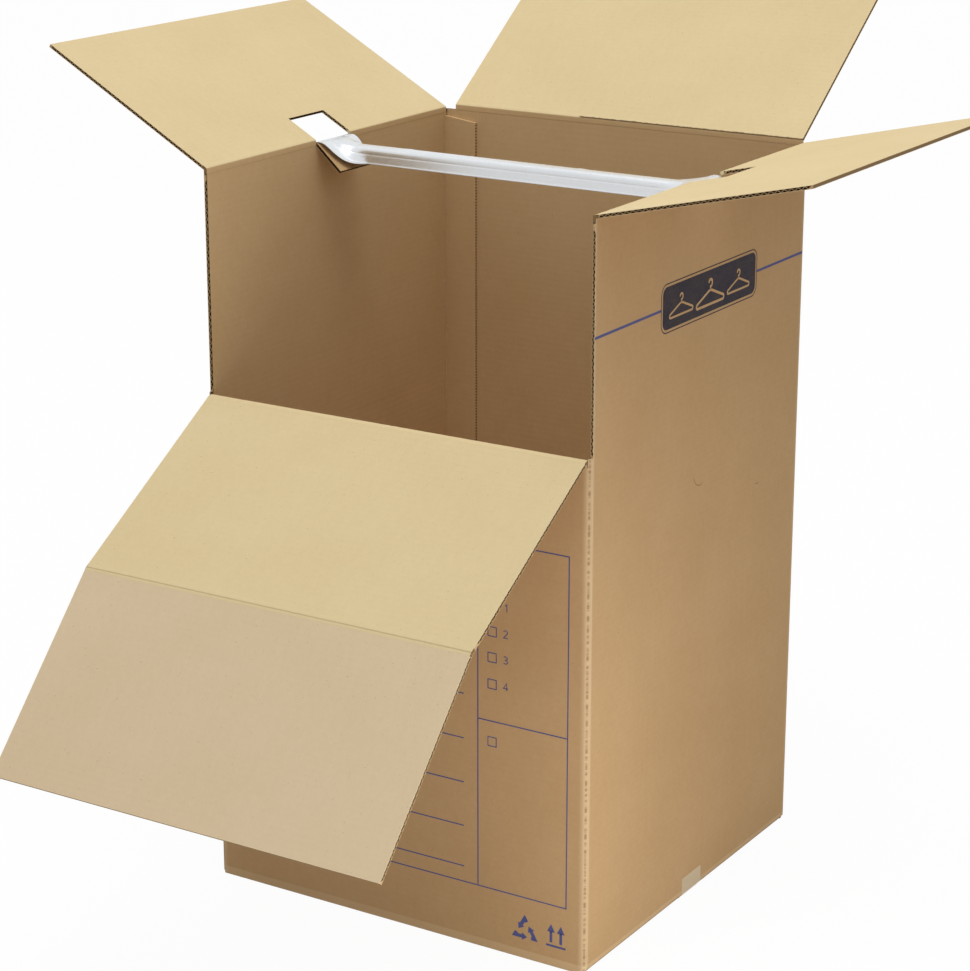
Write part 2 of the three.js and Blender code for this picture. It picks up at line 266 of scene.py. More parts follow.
# The frame on a crease: out leaves the outer face, away leads from the crease, along follows it
def boardFrame(joint, out, up, opening):
    point = np.array(joints[joint]["pos_m"]) * 1000
    out = np.array(out, float)
    up = np.array(up, float)
    turn = math.radians(opening)
    return {
        "point": point,
        "wallOut": out,
        "wallUp": up,
        "opening": opening,
        "along": np.cross(out, up),
        "out": out * math.cos(turn) - up * math.sin(turn),
        "away": out * math.sin(turn) + up * math.cos(turn),
    }


boards = {
    "left_flap": boardFrame("left_flap_crease", (-1, 0, 0), (0, 0, 1), 61),
    "right_flap": boardFrame("right_flap_crease", (1, 0, 0), (0, 0, 1), 77),
    "back_flap": boardFrame("back_flap_crease", (0, 1, 0), (0, 0, 1), 54),
    "drop_panel": boardFrame("drop_panel_crease", (0, -1, 0), (0, 0, 1), 122),
}
boards["front_flap"] = boardFrame(
    "front_flap_crease", boards["drop_panel"]["out"], boards["drop_panel"]["away"], 16,
)

boardLook = {
    "outer": linear(200, 165, 121),
    "outerDark": linear(187, 150, 104),
    "inner": linear(229, 209, 165),
    "innerDark": linear(218, 196, 149),
    "cutFace": linear(192, 158, 112),
    "rim": linear(234, 210, 170),
    # painted shade: the dark colour of the flutes' open tunnels
    "tunnelShade": linear(70, 46, 22),
    "fleck": linear(120, 88, 52),
    "fleckShare": 0.35,
    "fleckLimits": (0.70, 0.78),
    "rimShare": 0.5,
    "roughness": 0.86,
    "specular": 0.25,
    "liner": 0.45,
    "linerSoft": 0.1,
    "innerFrom": (1.6, 2.4),
    "flutePitch": 7.7,
    "cloud": (140, 0.9),
    "mottle": (9, 0.6),
    "fibre": (1.6, 0.7),
    "waveTone": 0.025,
    "washboard": 0.016,
    "grain": 0.03,
    "dents": (90, 0.5),
}


# Colour and height of board at a place whose y is the depth in from the outer face. Noises of three
# lengths and the flutes' waves shift the tone, and the depth picks outer liner, fluted core or inner liner.
def boardSurface(place, look, onFace):
    depth = place.y
    cloud = place.noise(look["cloud"][0], detail=2.0)
    mottle = place.noise(look["mottle"][0], stretch=(1.0, 40, 1.6), detail=3.0)
    fibre = place.noise(look["fibre"][0], stretch=(1.0, 40, 3.0), detail=2.0)
    fleck = place.noise(2.2, stretch=(2.4, 40, 0.8), detail=1.0).step(*look["fleckLimits"])
    waves = (place.z * (2 * math.pi / look["flutePitch"])).sine()
    shade = (cloud - 0.5) * look["cloud"][1] + (mottle - 0.5) * look["mottle"][1]
    shade = shade + (fibre - 0.5) * look["fibre"][1] + waves * look["waveTone"]
    tone = (shade + 0.5).most(0).least(1)
    inner = depth.step(*look["innerFrom"])
    dark = inner.tint(look["outerDark"], look["innerDark"])
    light = inner.tint(look["outer"], look["inner"])
    flecked = (fleck * look["fleckShare"]).tint(tone.tint(dark, light), look["fleck"])
    rimmed = (onFace * look["rimShare"]).tint(flecked, look["rim"])
    nearLimit = look["liner"] - look["linerSoft"]
    farLimit = boardThickness - look["liner"]
    core = depth.step(nearLimit, look["liner"]) * depth.step(farLimit + look["linerSoft"], farLimit)
    # Painted shade: the core is dark where its tunnels open, and lighter on the marked cut faces
    colour = core.tint(rimmed, onFace.tint(look["tunnelShade"], look["cutFace"]))
    dents = place.noise(look["dents"][0], stretch=(1, 40, 1.4), detail=1.0)
    height = waves * look["washboard"] + (fibre - 0.5) * look["grain"] + (dents - 0.5) * look["dents"][1]
    return colour, height


# Board is matt everywhere, so that only its colour and height differ
def finishBoard(shader, colour, height):
    finish(shader, {
        "Base Color": colour,
        "Roughness": boardLook["roughness"],
        "Specular IOR Level": boardLook["specular"],
    }, height)


# A loose board in its own frame. The cut faces at its ends, slot and tip are lighter than the painted shade
# of its tunnels.
def boardMaterial(name, board, look):
    material, shader, place = newMaterial(name)
    own = place.inBoard(board)
    onFace = own.z.step(look["tip"] - 1.0, look["tip"] - 0.8) * 0.45
    for end in look["ends"]:
        onFace = onFace.most(own.x.band(end, faceReach, faceSoft))
    if "slot" in look:
        halfWide, length = look["slot"]
        side = own.x.size().band(halfWide, faceReach, faceSoft)
        onFace = onFace.most(side * own.z.step(length, length - 1))
    finishBoard(shader, *boardSurface(own, look, onFace))
    return material


# Where the shell's boards lie: the low flaps' top, the folds at the bottom edges, and the tabs
shellEdges = {
    "lowFlapTop": 4.1,
    "foldStart": 254.7,
    "lowFoldTop": 3.3,
    "highFoldTop": 7.5,
    "tabHalf": 36.6,
    "tabLow": 834.0,
    "soft": 0.1,
}


# The shell's depth is measured in from its outside, round the corners too, and in the tabs' own frame
# where they stand. The bottom flaps are measured up from the floor, and their folds count as outside.
def shellPlace(place, edges):
    def above(value, limit):
        return value.step(limit, limit + edges["soft"])

    def below(value, limit):
        return value.step(limit, limit - edges["soft"])

    wide = place.x.size()
    deep = place.y.size()
    overX = (wide - cornerCentre).most(0)
    overY = (deep - cornerCentre).most(0)
    fromWall = cornerRadius - (overX * overX + overY * overY).root()
    flaps = below(place.z, edges["lowFlapTop"])
    lowFold = flaps * above(deep, edges["foldStart"]) * below(place.z, edges["lowFoldTop"])
    highFold = above(wide, edges["foldStart"]) * below(place.z, edges["highFoldTop"])
    fold = (lowFold + highFold).least(1)
    fromBottom = (1 - fold) * flaps.blend(fromWall, fromWall.least(place.z))
    inTab = wide.step(tabPivot[0], tabPivot[0] - 0.05) * below(deep, edges["tabHalf"])
    inTab = inTab * above(place.z, edges["tabLow"])
    turn = math.radians(90 + tabDroop)
    height = (wide - tabPivot[0]) * math.cos(turn) + (place.z - tabPivot[1]) * math.sin(turn)
    depth = inTab.blend(fromBottom, boardThickness - height)
    return Place(place.x + place.y, depth, place.z)


# Painted shade: the inside walls and their creases take a darker copy of the flaps' inner liner
shadedInsideLook = {"inner": linear(214, 184, 141), "innerDark": linear(203, 170, 123)}

shellLook = {
    "frontEdge": -252,
    "bottomTop": (12, 11),
    "bottomShare": 0.5,
    "outside": (255.5, 256.5),
    "paleCornerReach": (10.5, 5.0),
    "worn": linear(226, 203, 166),
    "paleCornerShare": 0.34,
    "ridgeReach": (3.0, 0.8),
    "dashLength": 6.5,
    "dashLimits": (0.40, 0.60),
    "dash": linear(118, 82, 46),
    "dashShare": 0.6,
    "dashDepth": 0.5,
    "cornerShadeSide": (251.2, 253.2),
    "cornerShadeDeep": (255.0, 254.5),
    "cornerShadeLow": (8.0, 9.0),
    "cornerShade": linear(118, 84, 46),
    "cornerShadeShare": 0.5,
    "tabEdge": -208,
    "tabMiddle": 252.0,
    "tabReach": 1.65,
    "fluteHoleLimits": (-0.5, 0.4),
    "dot": linear(96, 64, 32),
    "fluteHoleShadeShare": 0.85,
}


# The shell's own marks: upright corners paler near their outer bend with a dashed ridge, a dark line of
# painted shade in each inner corner, and painted shade in the flute ends on the glue tab's edge, which follow
# a cosine of the height
def shellMaterial(look):
    material, shader, place = newMaterial("shell_board")
    onFace = place.y.band(look["frontEdge"], faceReach, faceSoft)
    onFace = onFace.most(place.z.step(*look["bottomTop"]) * look["bottomShare"])
    colour, height = boardSurface(shellPlace(place, shellEdges), {**boardLook, **shadedInsideLook}, onFace)
    wide = place.x.size()
    deep = place.y.size()
    toCorner = 2 * halfSide - (wide + deep)
    # Paler near each outer upright corner, within about 10 mm of it
    worn = toCorner.step(*look["paleCornerReach"]) * wide.most(deep).step(*look["outside"])
    ridge = (wide - deep).size().step(*look["ridgeReach"]) * worn
    upright = Place(place.x * 0, place.y * 0, place.z)
    dashes = upright.noise(look["dashLength"], detail=2.0).step(*look["dashLimits"])
    colour = (worn * look["paleCornerShare"]).tint(colour, look["worn"])
    colour = (ridge * dashes * look["dashShare"]).tint(colour, look["dash"])
    # Painted shade: a dark line down each inner corner of the walls, above the bottom
    cornerShade = wide.least(deep).step(*look["cornerShadeSide"]) * wide.most(deep).step(*look["cornerShadeDeep"])
    cornerShade = cornerShade * place.z.step(*look["cornerShadeLow"])
    colour = (cornerShade * look["cornerShadeShare"]).tint(colour, look["cornerShade"])
    # Painted shade: dark dots where the flutes open on the glue tab's edge
    ends = (place.z * (4 * math.pi / boardLook["flutePitch"])).cosine()
    tabEdge = place.x.band(look["tabEdge"], 0.3, 0.1) * deep.band(look["tabMiddle"], look["tabReach"], 0.1)
    tabEdge = tabEdge * place.y.step(0, 1)
    colour = (tabEdge * ends.step(*look["fluteHoleLimits"]) * look["fluteHoleShadeShare"]).tint(colour, look["dot"])
    finishBoard(shader, colour, height - ridge * dashes * look["dashDepth"])
    return material


# A CAD node's mesh gets one material
def dress(nodeName, material):
    mesh = nodes[nodeName].data
    mesh.materials.clear()
    mesh.materials.append(material)


dress("box_shell", shellMaterial(shellLook))
ownLooks = {
    "left_flap": {"ends": (-252, 253), "slot": (36.5, 46), "tip": 254},
    "right_flap": {"ends": (-253, 252), "slot": (36.5, 46), "tip": 254},
    "back_flap": {"ends": (-240, 252), "tip": 254},
    "drop_panel": {"ends": (-254, 254), "tip": 272},
    "front_flap": {
        "ends": (-254, 254),
        "tip": 254,
        "inner": linear(226, 205, 171),
        "innerDark": linear(216, 192, 155),
    },
}
for boardName, board in boards.items():
    dress(boardName, boardMaterial(boardName + "_board", board, {**boardLook, **ownLooks[boardName]}))
print("boards dressed")


# Creases: a soft strip of bent board over each hinge

creaseLook = {
    "wallEnd": -4.6,
    "boardStart": 2.0,
    "buried": 1.4,
    "proud": 0.06,
    "rowLength": 4.0,
    "curveSteps": 14,
    "foldColumn": 7,
    "round": 0.2,
    "tighten": (0.05, 0.4),
    "ripple": 0.35,
}


# Rows of points, each row closed on itself: quads between the rows, and one face over each end
def gridMesh(name, points):
    rows, columns = points.shape[:2]
    index = np.arange(rows * columns).reshape(rows, columns)
    full = np.hstack([index, index[:, :1]])
    quads = np.stack([full[1:, :-1], full[1:, 1:], full[:-1, 1:], full[:-1, :-1]], axis=-1).reshape(-1, 4)
    faces = quads.tolist() + [index[0][::-1].tolist(), index[-1].tolist()]
    mesh = bpy.data.meshes.new(name)
    mesh.from_pydata((points.reshape(-1, 3) * millimetre).tolist(), [], faces)
    mesh.update()
    made = bpy.data.objects.new(name, mesh)
    scene.collection.objects.link(made)
    return made


# Smooth shading, but for edges that turn more than the angle
def smoothFaces(made, angle=40):
    made.data.shade_smooth()
    made.data.set_sharp_from_angle(angle=math.radians(angle))


# Waves of a few lengths along a line, seeded: the sum of sines whose size falls with their length
def wander(along, seed, lengths):
    source = np.random.default_rng(seed)
    total = np.zeros_like(along)
    for length in lengths:
        total += np.sin(along * (2 * np.pi / length) + source.uniform(0, 6.28)) * source.uniform(0.6, 1.0)
    return total / len(lengths)


# The strip's section: a curve from the wall's inner face to the board's, drawn towards the crease,
# and back through the crushed skins. Both ends are buried a little in the boards.
def creaseSection(board, look):
    turn = math.radians(board["opening"])
    away = np.array([math.sin(turn), math.cos(turn)])
    out = np.array([math.cos(turn), -math.sin(turn)])
    inner = -boardFace - boardThickness - look["proud"]
    wallPoint = np.array([inner, look["wallEnd"] - 0.6])
    boardPoint = away * (look["boardStart"] + 0.6) + out * inner
    reach = (inner - boardPoint[0]) / away[0]
    corner = boardPoint + away * reach
    corner = corner * (1 - look["tighten"][0 if board["opening"] < 90 else 1])
    first = corner + (wallPoint - corner) * look["round"]
    second = corner + (boardPoint - corner) * look["round"]
    share = np.linspace(0, 1, look["curveSteps"] - 6)[:, None]
    bend = first * (1 - share) ** 2 + corner * 2 * share * (1 - share) + second * share ** 2
    straight = np.array([0, 1, 2])[:, None] / 3
    curve = np.vstack([
        wallPoint + (first - wallPoint) * straight,
        bend,
        boardPoint + (second - boardPoint) * straight[::-1],
    ])
    buriedWall = np.array([inner + 0.4, look["wallEnd"] - look["buried"]])
    buriedBoard = away * (look["boardStart"] + look["buried"]) + out * (inner + 0.4)
    skin = -boardFace - 0.5
    back = [
        away * (look["boardStart"] + 0.5) + out * skin,
        away * 0.5 + out * skin,
        np.array([skin, -0.5]),
        np.array([skin, look["wallEnd"] - 0.5]),
    ]
    return np.vstack([buriedWall, curve, buriedBoard, back])


# The section is carried along the crease, its bend swelling a little in slow waves. The wall's side of the
# fold, the board's side and the outer side take the three materials.
def makeCrease(name, boardName, start, end, materials):
    look = creaseLook
    board = boards[boardName]
    section = creaseSection(board, look)
    rows = int((end - start) / look["rowLength"]) + 1
    along = np.linspace(start, end, rows)
    swell = 1 + look["ripple"] * 0.12 * wander(along, len(name), (310, 83, 29, 15))
    scale = np.ones((rows, len(section)))
    scale[:, 2:look["curveSteps"]] = swell[:, None]
    flat = section[None, :, :] * scale[:, :, None]
    points = (
        board["point"]
        + flat[:, :, 0:1] * board["wallOut"]
        + flat[:, :, 1:2] * board["wallUp"]
        + along[:, None, None] * board["along"]
    )
    strip = gridMesh(name, points)
    smoothFaces(strip)
    for material in materials:
        strip.data.materials.append(material)
    column = np.arange(len(section))
    side = np.where(column < look["foldColumn"], 0, np.where(column > look["curveSteps"], 2, 1))
    side = np.append(np.tile(side, rows - 1), [1, 1]).astype(np.int32)
    strip.data.polygons.foreach_set("material_index", side)
    first = board["point"] + section[1][0] * board["wallOut"] + section[1][1] * board["wallUp"]
    last = section[look["curveSteps"]]
    second = board["point"] + last[0] * board["wallOut"] + last[1] * board["wallUp"]
    Vector(first * millimetre)
    Vector(second * millimetre)
    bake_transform(strip)
    return strip


creasedLook = {
    "mottle": (7, 0.7),
    "fine": (1.4, 0.6),
    "capX": 254,
    "capY": -252,
    "cap": linear(122, 88, 50),
    "capShare": 0.9,
    "shadeLine": linear(84, 58, 30),
    "roughness": 0.88,
}


# The creased liner is a little rubbed, and its cut ends are brown. A line at one height, moved up and down
# by noise, is painted shade: the shadow gap at the back flap's edge, and a thin shaded line in the front
# flap's bend.
def creaseMaterial(name, tone, side="inner", alongX=True, shadeLine=None):
    material, shader, place = newMaterial(name)
    look = creasedLook
    mottle = place.noise(look["mottle"][0], detail=3.0)
    fine = place.noise(look["fine"][0], detail=2.0)
    mix = (mottle - 0.5) * look["mottle"][1] + (fine - 0.5) * look["fine"][1] + 0.5
    colour = mix.most(0).least(1).tint(tone[side + "Dark"], tone[side])
    along, cap = (place.x.size(), look["capX"]) if alongX else (place.y, look["capY"])
    colour = (along.band(cap, faceReach, faceSoft) * look["capShare"]).tint(colour, look["cap"])
    if shadeLine:
        ragged = (place.noise(5, detail=3.0) - 0.5) * shadeLine["ragged"]
        line = (place.z + ragged).band(shadeLine["height"], shadeLine["reach"], shadeLine["soft"])
        stretch = place.x.step(shadeLine["start"], shadeLine["start"] + 6)
        colour = (line * stretch * shadeLine["strength"]).tint(colour, look["shadeLine"])
    finish(shader, {
        "Base Color": colour,
        "Roughness": look["roughness"],
        "Specular IOR Level": boardLook["specular"],
    }, (fine - 0.5) * 0.04 + (mottle - 0.5) * 0.2)
    return material


sideCrease = creaseMaterial("creased_side", boardLook, alongX=False)
# Painted shade lines: the shadow gap along the back flap's crease and a faint line in the front flap's bend
backShadeGap = {"height": 882.9, "reach": 0.9, "soft": 0.5, "ragged": 1.6, "start": -59, "strength": 0.9}
frontShadeLine = {"height": 468.1, "reach": 0.2, "soft": 0.5, "ragged": 0.6, "start": -300, "strength": 0.32}
backCrease = creaseMaterial("creased_back", boardLook, shadeLine=backShadeGap)
frontCrease = creaseMaterial("creased_front", boardLook)
bentCrease = creaseMaterial("creased_front_flap", boardLook, shadeLine=frontShadeLine)
outerCrease = creaseMaterial("creased_outer", boardLook, side="outer")
wallCrease = creaseMaterial("creased_wall", shadedInsideLook, alongX=False)
makeCrease("left_crease_front", "left_flap", -252, -36.5, (wallCrease, sideCrease, outerCrease))
makeCrease("left_crease_back", "left_flap", 36.5, 253, (wallCrease, sideCrease, outerCrease))
makeCrease("right_crease_front", "right_flap", 36.5, 252, (wallCrease, sideCrease, outerCrease))
makeCrease("right_crease_back", "right_flap", -253, -36.5, (wallCrease, sideCrease, outerCrease))
makeCrease("back_crease", "back_flap", -240, 252, (wallCrease, backCrease, outerCrease))
makeCrease("panel_crease", "drop_panel", -254, 254, (frontCrease, frontCrease, outerCrease))
makeCrease("front_crease", "front_flap", -254, 254, (bentCrease, bentCrease, outerCrease))
print("creases made")


# Hanger bar: one sheet folded down into a channel, flat at its ends and hooked over the walls

barLook = {
    "topHeight": 871.55,
    "hookHeight": 876.25,
    "hookRadius": 5.4,
    "liftFrom": 213.85,
    "flatFrom": 195.0,
    "flatTo": 250.0,
    "lipDrop": 8.0,
    "halfStrip": 29.0,
    "halfTongue": 34.0,
    "flatHalf": 4.0,
    "shoulder": 11.0,
    "sheet": 0.9,
    "bead": (17.0, 1.0, -0.35),
    "hem": (28.1, 0.9, 0.55),
    "stops": 44,
}


# 0 below 0, 1 above 1, and 3v^2 - 2v^3 between
def smoothed(value):
    held = np.clip(value, 0, 1)
    return held * held * (3 - 2 * held)


# A bell curve about the middle
def bump(value, middle, reach):
    return np.exp(-((value - middle) / reach) ** 2)


# The half path from the middle to the lip: place, slope angle of the sheet, and how flat its section is
def barPath(look):
    straight = np.concatenate([np.arange(0, 190, 5.0), np.arange(190, 254, 1.6)])
    turn = np.concatenate([np.zeros(len(straight)), np.linspace(0, np.pi / 2, 9), [np.pi / 2] * 3])
    sweep = np.linspace(0, np.pi / 2, 9)
    drop = np.array([0.35, 0.7, 1.0]) * look["lipDrop"]
    hookX = tabPivot[0] + look["hookRadius"] * np.sin(sweep)
    x = np.concatenate([straight, hookX, hookX[-1:].repeat(3)])
    lift = smoothed((straight - look["liftFrom"]) / (look["flatTo"] - look["liftFrom"]))
    z = np.concatenate([
        look["topHeight"] + (look["hookHeight"] - look["topHeight"]) * lift,
        tabPivot[1] + look["hookRadius"] * np.cos(sweep),
        tabPivot[1] - drop,
    ])
    flat = smoothed((x - look["flatFrom"]) / (look["flatTo"] - look["flatFrom"]))
    return x, z, turn, flat


# Rows follow the path and columns follow the section. Across the strip the turn grows over the shoulder
# to a right angle, less where it is flat; its running sum of cosines and sines gives the place.
def barPoints(look):
    x, z, turn, flat = barPath(look)
    side = np.concatenate([-np.ones(len(x) - 1), np.ones(len(x))])
    order = np.concatenate([np.arange(len(x) - 1, 0, -1), np.arange(len(x))])
    x, z, turn, flat = x[order], z[order], turn[order], flat[order]
    share = np.linspace(0, 1, look["stops"])
    length = look["halfStrip"] + (look["halfTongue"] - look["halfStrip"]) * flat
    run = share[None, :] * length[:, None]
    bend = smoothed((run - look["flatHalf"]) / look["shoulder"]) * np.pi / 2 * (1 - flat[:, None])
    step = np.diff(run, axis=1)
    middle = (bend[:, 1:] + bend[:, :-1]) / 2
    zero = np.zeros((len(x), 1))
    across = np.hstack([zero, np.cumsum(np.cos(middle) * step, axis=1)])
    down = np.hstack([zero, np.cumsum(np.sin(middle) * step, axis=1)])
    formed = 1 - smoothed(flat)[:, None]
    proud = bump(run, look["bead"][0], look["bead"][1]) * look["bead"][2] * formed
    proud = proud + bump(run, look["hem"][0], look["hem"][1]) * look["hem"][2] * formed

    # One side of the strip, its outer face or its inner one a sheet's thickness in
    def half(sign, inside):
        place = sign * across
        signed = side[:, None] * x[:, None]
        extra = proud + barMarks(signed, place, flat[:, None])
        offset = extra - (look["sheet"] if inside else 0)
        wide = sign * (across + np.sin(bend) * offset)
        low = down - np.cos(bend) * offset
        return np.stack([
            side[:, None] * (x[:, None] - low * np.sin(turn)[:, None]),
            wide,
            z[:, None] - low * np.cos(turn)[:, None],
        ], axis=-1)

    top = np.concatenate([half(-1, False)[:, ::-1], half(1, False)[:, 1:]], axis=1)
    under = np.concatenate([half(1, True)[:, ::-1], half(-1, True)[:, 1:]], axis=1)
    return np.concatenate([top, under], axis=1)


# Height, place along the bar and reach there, place across it and reach there. By each ridge stand two
# dimples, a pad where the side opens out and a swelling, and two small stops stand on the top.
pressedMarks = [
    (0.5, -146.0, 4.0, 6.0, 2.4),
    (0.5, 92.0, 4.0, 6.0, 2.4),
]
for end in (-1, 1):
    pressedMarks += [
        (-1.1, end * 249.5, 2.6, -13.0, 3.2),
        (-1.1, end * 249.5, 2.6, 22.0, 3.2),
        (0.8, end * 238.0, 6.0, -20.0, 4.0),
        (0.45, end * 226.0, 9.0, 3.0, 4.5),
    ]

crumpledCorner = {"depth": 0.4, "place": 250.0, "reach": 9.0, "from": 14, "over": 14}


# The marks are bell curves along and across the bar, the crumpled corner is crossed sines, and the whole
# sheet waves by a tenth of a millimetre
def barMarks(x, y, flat):
    total = np.zeros(np.broadcast(x, y).shape)
    for height, atX, reachX, atY, reachY in pressedMarks:
        total += height * bump(x, atX, reachX) * bump(y, atY, reachY)
    look = crumpledCorner
    rough = np.sin(x * 0.9 + y * 0.7) * np.sin(y * 1.3 - x * 0.35)
    within = bump(x, look["place"], look["reach"]) * smoothed((y - look["from"]) / look["over"]) * flat
    total += look["depth"] * (rough - 1) * within
    total += 0.10 * np.sin(x * 0.031 + 1.0) * np.sin(y * 0.11)
    return total


# The pressed sheet takes the place of the CAD bar and stays with the box
def makeBar(material):
    bar = gridMesh("bar_sheet", barPoints(barLook))
    smoothFaces(bar, 55)
    bar.data.materials.append(material)
    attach(bar, "box")
    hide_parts("hanger_bar")


# Bright galvanised steel: small spangles, fine streaks along the bar and slow clouds
def zincMaterial():
    material, shader, place = newMaterial("galvanised_steel")
    spangle = place.noise(4, detail=1.0)
    streak = place.noise(1.6, stretch=(30, 1, 1), detail=1.0)
    cloud = place.noise(40, stretch=(2, 1, 1), detail=2.0)
    shade = (spangle - 0.5) * 0.35 + (streak - 0.5) * 0.3 + (cloud - 0.5) * 0.4
    tone = (shade + 0.6).most(0).least(1)
    finish(shader, {
        "Base Color": tone.tint(linear(206, 210, 214), linear(234, 237, 240)),
        "Metallic": 0.78,
        "Roughness": 0.32 + (spangle - 0.5) * 0.14,
    }, (streak - 0.5) * 0.008 + (cloud - 0.5) * 0.1)
    return material


# Thin tan film, half gloss and a little creased
def tapeMaterial():
    material, shader, place = newMaterial("packing_tape")
    cloud = place.noise(18, detail=3.0)
    finish(shader, {
        "Base Color": cloud.tint(linear(190, 164, 122), linear(206, 183, 142)),
        "Roughness": 0.32 + (cloud - 0.5) * 0.15,
    }, (cloud - 0.5) * 0.25)
    return material


makeBar(zincMaterial())
print("bar made")
dress("bottom_tape", tapeMaterial())


# Print and small marks: flat shapes a hair in front of the walls, in a wall's own level and height

printLook = {
    "ink": 0.12,
    "over": 0.22,
    "formLine": 1.5,
    "form": (-233, 78, 233, 500),
    "divider": 115,
    "crossing": 286,
    "lineHeights": (97.5, 148.6, 203.0, 257.5, 312.0, 366.5, 421.0, 475.5),
    "lineEnds": (-215, 96),
    "checkLeft": 128.5,
    "checkSide": 11,
    "checkHeights": (456, 425, 394, 363, 331, 261),
    "stripe": 3,
    "badge": (12.5, 747, 113.5, 24.5, 9),
}

digits = {
    1: ((0.25, 0.78), (0.5, 1), (0.5, 0)),
    2: ((0, 0.8), (0.15, 0.96), (0.42, 1), (0.62, 0.82), (0.56, 0.58), (0, 0), (0.66, 0)),
    3: (
        (0.03, 0.9), (0.3, 1), (0.6, 0.85), (0.55, 0.62), (0.25, 0.53),
        (0.6, 0.4), (0.62, 0.15), (0.3, 0), (0, 0.12),
    ),
    4: ((0.5, 0), (0.5, 1), (0, 0.3), (0.72, 0.3)),
}


# A line of one width along a path: each corner is mitred, so its two points stand on the corner's bisector
def strokeShape(path, width):
    path = np.array(path, float)
    closed = np.allclose(path[0], path[-1])
    run = np.diff(path, axis=0)
    run = run / np.linalg.norm(run, axis=1)[:, None]
    normal = np.stack([-run[:, 1], run[:, 0]], axis=1)
    before = np.vstack([normal[-1:] if closed else normal[:1], normal])
    after = np.vstack([normal, normal[:1] if closed else normal[-1:]])
    spread = 1 + (before * after).sum(axis=1, keepdims=True)
    offset = (before + after) / np.maximum(spread, 0.3) * width / 2
    index = np.arange(len(path) - 1)
    count = len(path)
    faces = np.stack([index, index + 1, index + 1 + count, index + count], axis=1)
    return np.vstack([path - offset, path + offset]), faces.tolist()


# One face inside an outline
def filledShape(outline):
    return np.array(outline, float), [list(range(len(outline)))]


# Points round a centre from one angle to another
def arc(centre, radius, start, end, steps=10):
    turn = np.radians(np.linspace(start, end, steps))
    return [(centre[0] + radius * math.cos(a), centre[1] + radius * math.sin(a)) for a in turn]


# A rectangle whose four corners are quarter circles
def roundedBar(x, y, halfWide, halfHigh, radius, close=False):
    corners = [(1, 1, 0), (-1, 1, 90), (-1, -1, 180), (1, -1, 270)]
    outline = []
    for signX, signY, turn in corners:
        middle = (x + signX * (halfWide - radius), y + signY * (halfHigh - radius))
        outline += arc(middle, radius, turn, turn + 90, 7)
    return outline + outline[:1] if close else outline


# A closed square path
def square(left, low, side):
    return [(left, low), (left + side, low), (left + side, low + side), (left, low + side), (left, low)]


# Shapes become one flat mesh that stands a gap in front of a wall. On the left wall they run the other way.
def makePrint(name, shapes, wall, gap, material):
    points = []
    faces = []
    for outline, shapeFaces in shapes:
        faces += [[corner + len(points) for corner in face] for face in shapeFaces]
        points += outline.tolist()
    flat = np.array(points)
    reach = (halfSide + gap) * np.ones(len(flat))
    columns = {
        "front": (flat[:, 0], -reach, flat[:, 1]),
        "right": (reach, flat[:, 0], flat[:, 1]),
        "left": (-reach, -flat[:, 0], flat[:, 1]),
    }[wall]
    mesh = bpy.data.meshes.new(name)
    mesh.from_pydata((np.stack(columns, axis=1) * millimetre).tolist(), [], faces)
    made = bpy.data.objects.new(name, mesh)
    scene.collection.objects.link(made)
    mesh.materials.append(material)
    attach(made, "box")
    return made


# Ink lets a little of the board's fibre through
def inkMaterial(name, colour, through):
    material, shader, place = newMaterial(name)
    fibre = place.noise(1.8, detail=2.0)
    cloud = place.noise(30, detail=2.0)
    worn = ((fibre - 0.5) * 0.2 + (cloud - 0.5) * 0.15 + through).most(0).least(1)
    finish(shader, {
        "Base Color": worn.tint(colour, boardLook["outerDark"]),
        "Roughness": 0.75,
        "Specular IOR Level": 0.3,
    }, (fibre - 0.5) * 0.03)
    return material


# The form: a frame with a divider, writing lines, check boxes and a digit by each of the middle four
def formShapes(look):
    left, low, right, high = look["form"]
    width = look["formLine"]
    shapes = [strokeShape([(left, low), (right, low), (right, high), (left, high), (left, low)], width)]
    shapes.append(strokeShape([(look["divider"], low), (look["divider"], high)], width))
    shapes.append(strokeShape([(look["divider"], look["crossing"]), (right, look["crossing"])], width))
    for height in look["lineHeights"]:
        shapes.append(strokeShape([(look["lineEnds"][0], height), (look["lineEnds"][1], height)], width))
    for height in look["checkHeights"]:
        side = look["checkSide"]
        shapes.append(strokeShape(square(look["checkLeft"], height - side / 2, side), 1.2))
    for number, height in zip(digits, look["checkHeights"][1:5]):
        path = [(149 + x * 8.5, height - 4.5 + y * 9) for x, y in digits[number]]
        shapes.append(strokeShape(path, 1.1))
    return shapes


# Three arrows that chase one another round a triangle
def chasingArrows(x, y, radius, width):
    corners = np.array(arc((0, 0), radius, 90, 330, 3))
    middle = np.array([x, y])
    shapes = []
    for index in range(3):
        before, corner, after = corners[index - 1], corners[index], corners[(index + 1) % 3]
        start = corner + (before - corner) * 0.18
        stop = corner + (after - corner) * 0.36
        run = (after - corner) / np.linalg.norm(after - corner)
        side = np.array([-run[1], run[0]]) * width * 1.05
        shapes.append(strokeShape(np.array([start, corner, stop]) + middle, width))
        shapes.append(filledShape(np.array([stop - side, stop + run * width * 1.5, stop + side]) + middle))
    return shapes


# Two arrows that point up from one line
def upArrows(x, low, high):
    shapes = [strokeShape([(x - 13, low + 2), (x + 13, low + 2)], 2.6)]
    for middle in (x - 6.5, x + 6.5):
        shapes.append(strokeShape([(middle, low + 6), (middle, high - 9)], 3.6))
        shapes.append(filledShape([(middle - 5.2, high - 10), (middle + 5.2, high - 10), (middle, high)]))
    return shapes


